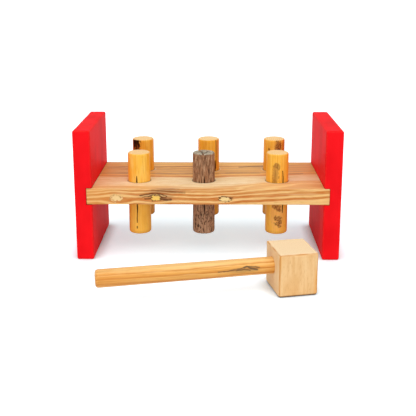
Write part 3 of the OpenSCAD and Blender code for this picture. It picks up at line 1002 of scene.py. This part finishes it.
mallet = {
    "turn": 12.4,          # as it lies, in degrees
    "head": (40, 46, 44),
    "rounding": 2.5,
    "uneven": 0.22,
    "cell": 1.3,
    "holeSquare": 6.5,     # half side of the grid square that becomes the handle's hole
    "holeSpread": 13,
    "holeDepth": 3,        # of the part that shows
    "holeGap": 0.12,
    "handleRadius": 8.5,
    "tipRadius": 8.9,
    "handleLength": 175,
    "inHead": 30,
    "tipRounding": 3.2,
    "columns": 96,         # round the handle
    "step": 1.8,           # along it
    "wornWidth": 3,        # from an edge of the head, where handling has browned it
    "sway": 0.12,          # how far the sanding of the head wanders
    "ripple": 0.4,         # how much the blows change the rounding of the upper left edge
    "handleWear": 0.07,    # how far the handle is worn down, and its tip besides
    "tipWear": 0.16,
    "tipReach": 9,
    "ringWidth": 4.2,
    # Torn dark lines near the head: width, and points from the head's middle and the rod's axis
    "veins": [
        (0.8, [(-77, -8.4, 0.4), (-69, -8.5, 0.2), (-61, -8.4, 1.3), (-55, -8.2, 1.8), (-49, -7.8, 3.2)]),
        (1.4, [(-51, -7.9, 2.6), (-48, -7.7, 3.4), (-43, -8.4, 1.2), (-38, -8.4, -0.2)]),
        (0.9, [(-48, -7.7, 3.5), (-42, -8.0, 2.9), (-36, -8.2, 2.0)]),
        (0.8, [(-59, -8.5, 0.2), (-51, -8.5, 0.9), (-45, -8.5, -0.4)]),
    ],
}
handleLow, handleHigh = boxOf("mallet_handle")
headLow, headHigh = boxOf("mallet_head")
axisHeight = (handleLow[2] + handleHigh[2]) / 2
malletOrigin = [*(headLow + headHigh)[:2] / 2, 0]


def sandedBeech(spec):
    # Beech block, sawn and sanded but not varnished: pale biscuit with short upright flecks
    # on its sides, smoother and lighter on the end grain on top, and warm streaks down two edges
    material, tree = newMaterial("sandedBeech")
    place = inMillimetres(tree)
    axes = addNode(tree, "SeparateXYZ", {0: place})
    streaks = grain(tree, place, (2.2, 2.2, 40), 4)[0]
    flecks = grain(tree, place, (0.7, 0.7, 5))[0]
    clouds = grain(tree, place, (16, 16, 30))[0]
    long, wide, tall = spec["head"]
    wobble = wander(tree, place, (6, 6, 14), 0.8)
    right = ovalReach(tree, place, wobble, (long / 2, -wide / 2, 13), (4.2, 4, 19))
    left = ovalReach(tree, place, wobble, (-long / 2, -wide / 2, tall - 6), (3.0, 3, 12))
    top = addNode(tree, "Math", {0: tall, 1: axes["Z"]}, operation="SUBTRACT")[0]
    pores = grain(tree, place, (0.9, 0.9, 4), 3)[0]
    cut = coated(tree, srgb("#F2D8AE"), pores, 0.45, 0.75, 0.6, "#DDB988")
    edge = addNode(tree, "Attribute", attribute_name="edge")["Fac"]
    rubbed = addNode(tree, "MapRange", {0: clouds, 1: 0.35, 2: 0.6, 3: 0.35, 4: 1})[0]
    colour = layered(tree, srgb("#E3B478"), [
        (clouds, 0.35, 0.62, 1, "#EBC28A"),
        (streaks, 0.5, 0.74, 0.45, "#D9A262"),
        (streaks, 0.45, 0.3, 0.45, "#F2D09A"),
        (flecks, 0.56, 0.74, 0.45, "#C48844"),
        (right, 1.4, 0.6, 0.6, "#DE9A44"),
        (left, 1.4, 0.6, 0.5, "#E2A450"),
        (top, 1.8, 0.4, 1, cut),
        (axes["X"], -18.5, -19.6, 0.5, "#F6D8A8"),    # painted light: the face by the handle made paler, lifting its shade
        (edge, 0.3, 1, 0.95, "#C47C2C", rubbed),      # edges browned by handling
        (axes["Z"], 2.6, 0.8, 0.9, "#5E3614"),        # painted shade: dark along the lowest edge, where the head meets the floor
    ])
    level = addNode(tree, "Math", {0: flecks, 1: -1, 2: streaks}, operation="MULTIPLY_ADD")[0]
    rough = addNode(tree, "MapRange", {0: streaks, 3: 0.52, 4: 0.66})[0]
    finishMaterial(tree, colour, rough, level, 0.07, 0.18)
    return material


def waxedPineRod(spec):
    # Turned pine rod, waxed: honey-gold with long lines of late wood along it,
    # a pale streak of sapwood on top and a dark, torn knot streak near the head
    material, tree = newMaterial("waxedPineRod")
    place = addNode(tree, "VectorMath", {0: inMillimetres(tree), 1: (0, 0, axisHeight)},
                    operation="SUBTRACT")[0]
    axes = addNode(tree, "SeparateXYZ", {0: place})
    bent = bentPlace(tree, place, (110, 16, 16), 6)
    ring = yearRing(tree, bent, (0, 5, 26), (0, 1, 1), spec["ringWidth"])
    colour = addNode(tree, "ValToRGB", {0: ring}, stops=[
        (0, "#EEB664"), (0.5, "#E5A44E"), (0.82, "#C67C2E"), (0.92, "#D68E3A"), (1, "#EEB664")])[0]
    streaks = grain(tree, place, (60, 1.6, 1.6), 4)[0]
    fibres = grain(tree, place, (8, 0.5, 0.5))[0]
    wobble = wander(tree, place, (12, 3, 3), 1.0)
    pale = ovalReach(tree, place, wobble, (-100, -3, 8), (95, 5, 3.6))
    haze = ovalReach(tree, place, wobble, (-51, -8, 0.4), (20, 5, 3.2))
    colour = layered(tree, colour, [
        (streaks, 0.48, 0.72, 0.7, "#C98338"),
        (streaks, 0.46, 0.3, 0.5, "#F4CC88"),
        (fibres, 0.54, 0.76, 0.35, "#A9672A"),
        (axes["X"], -110, -195, 0.4, "#D98A34"),      # more orange towards the free end
        (pale, 1.4, 0.5, 0.6, "#F6CF8A"),
        (haze, 1.3, 0.3, 0.55, "#94703C"),
    ])
    rugged = bentPlace(tree, place, (4, 2, 2), 1.6)
    for width, line in spec["veins"]:
        reach = lineReach(tree, rugged, line)
        colour = coated(tree, colour, reach, width, width * 0.3, 0.8, "#54422C")
    level = addNode(tree, "Math", {0: fibres, 1: streaks}, operation="ADD")[0]
    rough = addNode(tree, "MapRange", {0: streaks, 3: 0.36, 4: 0.5})[0]
    finishMaterial(tree, colour, rough, level, 0.05, 0.25)
    return material


def makeHead(spec, material):
    half = np.array(spec["head"]) / 2
    low, high = np.array((-half[0], -half[1], 0)), np.array((half[0], half[1], 2 * half[2]))
    square, spread = spec["holeSquare"], spec["holeSpread"]
    deep = low[0] + spec["holeDepth"]
    steps = (-spread, -square, square, spread)
    extra = ([deep], list(steps), [axisHeight + s for s in steps])
    lines = [gridLines(edgeLines(a, b, spec["rounding"] * 1.2, 4) + c, a, b, spec["cell"])
             for a, b, c in zip(low, high, extra)]

    def filled(x, y, z):
        return not (x < deep and max(abs(y), abs(z - axisHeight)) < square)

    points, faces = blockMesh(lines, filled)
    centre = (low + high) / 2
    toEdge = np.sort(half - np.abs(points - centre), axis=1)[:, 1]
    edge = np.clip(1 - toEdge / spec["wornWidth"], 0, 1)
    radii = spec["rounding"] * (1.0 + spec["uneven"] * lumps(points, 12, 4))
    # the upper left edge is rippled by blows
    ripple = np.exp(-((points[:, 0] - low[0]) ** 2 + (points[:, 2] - high[2]) ** 2) / 18)
    radii *= 1 + spec["ripple"] * ripple * np.sin(points[:, 1] / 1.9)
    shaped = roundBlock(points, low, high, radii)
    radius = spec["handleRadius"] + spec["holeGap"]
    moved, longest, _ = squareToRound(points[:, 1:], np.array((0, axisHeight)), square, spread, radius)
    atHole = points[:, 0] < deep + close
    near = atHole & (longest < spread - 1e-6) & (longest > square - close)
    inside = atHole & (points[:, 0] > deep - close) & (longest <= square + close)
    shaped[near | inside, 1:] = moved[near | inside]
    sway = spec["sway"] * hollows(points, 13, 9)
    flat = ~near & ~inside
    shaped[flat, :2] += (np.clip((centre - shaped) / half, -1, 1) * sway[:, None])[flat, :2]
    top = points[:, 2] > high[2] - 3
    shaped[top, 2] -= sway[top]
    piece = makePiece("mallet_head_wood", shaped, faces, "mallet", "mallet_head_beech", material,
                      malletOrigin, spec["turn"], edge=edge)
    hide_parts("mallet_head")


def makeHandle(spec, material):
    start = spec["inHead"] - spec["head"][0] / 2
    mouth = -spec["head"][0] / 2
    stop = mouth - spec["handleLength"]
    r, thick, tip = spec["tipRounding"], spec["handleRadius"], spec["tipRadius"]
    rows = [(start, radius) for radius in np.linspace(0, thick, 6)]
    rows += [(start - 10, thick), (mouth + 4, thick)]
    for x in gridLines([], stop + r, mouth, spec["step"])[::-1]:
        rows.append((x, thick + (tip - thick) * (mouth - x) / spec["handleLength"]))
    bends = [math.pi / 2 * n / 6 for n in range(1, 7)]
    rows += [(stop + r - r * math.sin(a), tip - r + r * math.cos(a)) for a in bends]
    rows += [(stop, radius) for radius in np.linspace(tip - r, 0, 7)[1:]]
    angles = np.linspace(0, 2 * math.pi, spec["columns"] + 1)
    grid = [[(x, -radius * math.cos(a), axisHeight + radius * math.sin(a)) for a in angles]
            for x, radius in rows]
    points, faces = weldedMesh([grid])
    faces, normals = outwardFaces(points, faces)
    atTip = np.clip(1 - (points[:, 0] - stop) / spec["tipReach"], 0, 1)
    drop = spec["handleWear"] * hollows(points, (60, 9, 9), 12)
    drop += spec["tipWear"] * atTip * hollows(points, 5, 13)
    drop[points[:, 0] > mouth + 1] = 0
    shaped = points - normals * drop[:, None]
    piece = makePiece("mallet_handle_wood", shaped, faces, "mallet", "mallet_handle_pine", material,
                      malletOrigin, spec["turn"])
    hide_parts("mallet_handle")


makeHead(mallet, sandedBeech(mallet))
makeHandle(mallet, waxedPineRod(mallet))


# Dowels, which stay as the CAD has them

def pressedBeech():
    # Beech dowel rod, pressed: pale and plain, with fine lengthwise flecks
    material, tree = newMaterial("pressedBeech")
    flecks = grain(tree, inMillimetres(tree), (12, 0.6, 0.6))[0]
    colour = coated(tree, srgb("#E6C190"), flecks, 0.4, 0.7, 1, "#CFA066")
    finishMaterial(tree, colour, 0.6, flecks, 0.05, 0.3)
    return material


dowelWood = pressedBeech()
for node in ("left_end_dowels", "right_end_dowels"):
    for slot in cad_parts[node].material_slots:
        slot.material = dowelWood
print("dowels dressed")
